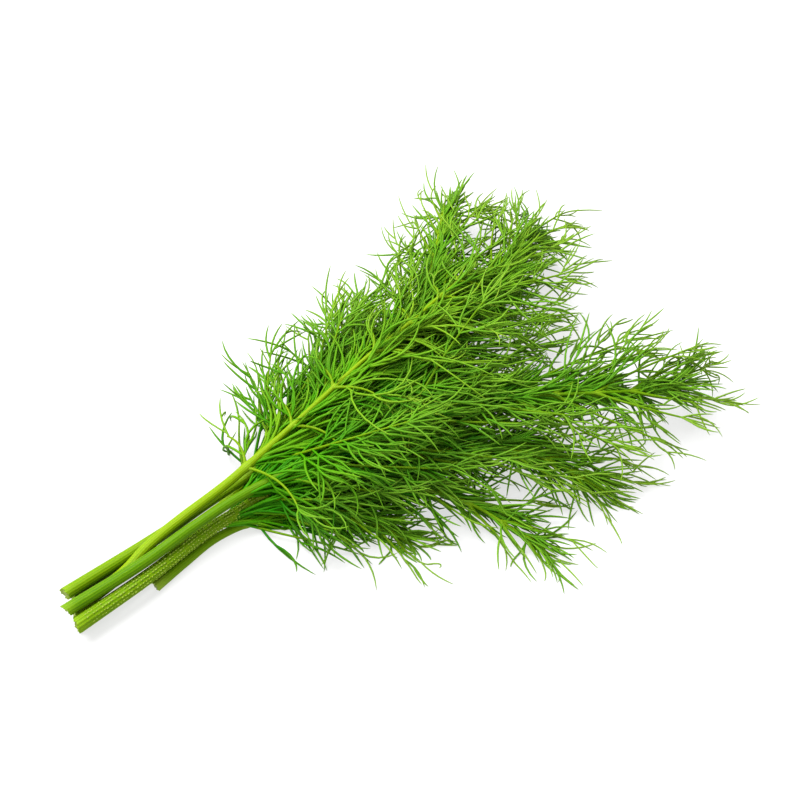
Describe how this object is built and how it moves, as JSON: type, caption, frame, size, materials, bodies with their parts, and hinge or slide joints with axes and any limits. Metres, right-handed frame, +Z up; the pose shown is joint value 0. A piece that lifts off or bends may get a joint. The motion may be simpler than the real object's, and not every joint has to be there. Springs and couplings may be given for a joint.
{
  "type": "dill bunch",
  "caption": "Bunch of fresh cut dill lying on its side, with bare stalks side by side at the cut ends that fan out into a low mound of feathery thread-leaved fronds.",
  "frame": {"origin": "on the flat underside of the lowest stalk, 27 mm from its cut end, at the height of the table that the bunch lies on", "axes": "+X from the cut ends towards the leaf tips, +Z up off the table, +Y to the left when looking along +X"},
  "size_m": [0.2765, 0.1848, 0.0536],
  "materials": {
    "dill_green": "matt waxy leaf green"
  },
  "bodies": {
    "root": {"stalk_lowest": "dill_green", "stalk_front": "dill_green", "stalk_back_left": "dill_green", "stalk_top_left": "dill_green", "stalk_low_right": "dill_green", "stalk_top_right": "dill_green", "stalk_right": "dill_green", "stalk_crown": "dill_green"}
  },
  "joints": []
}
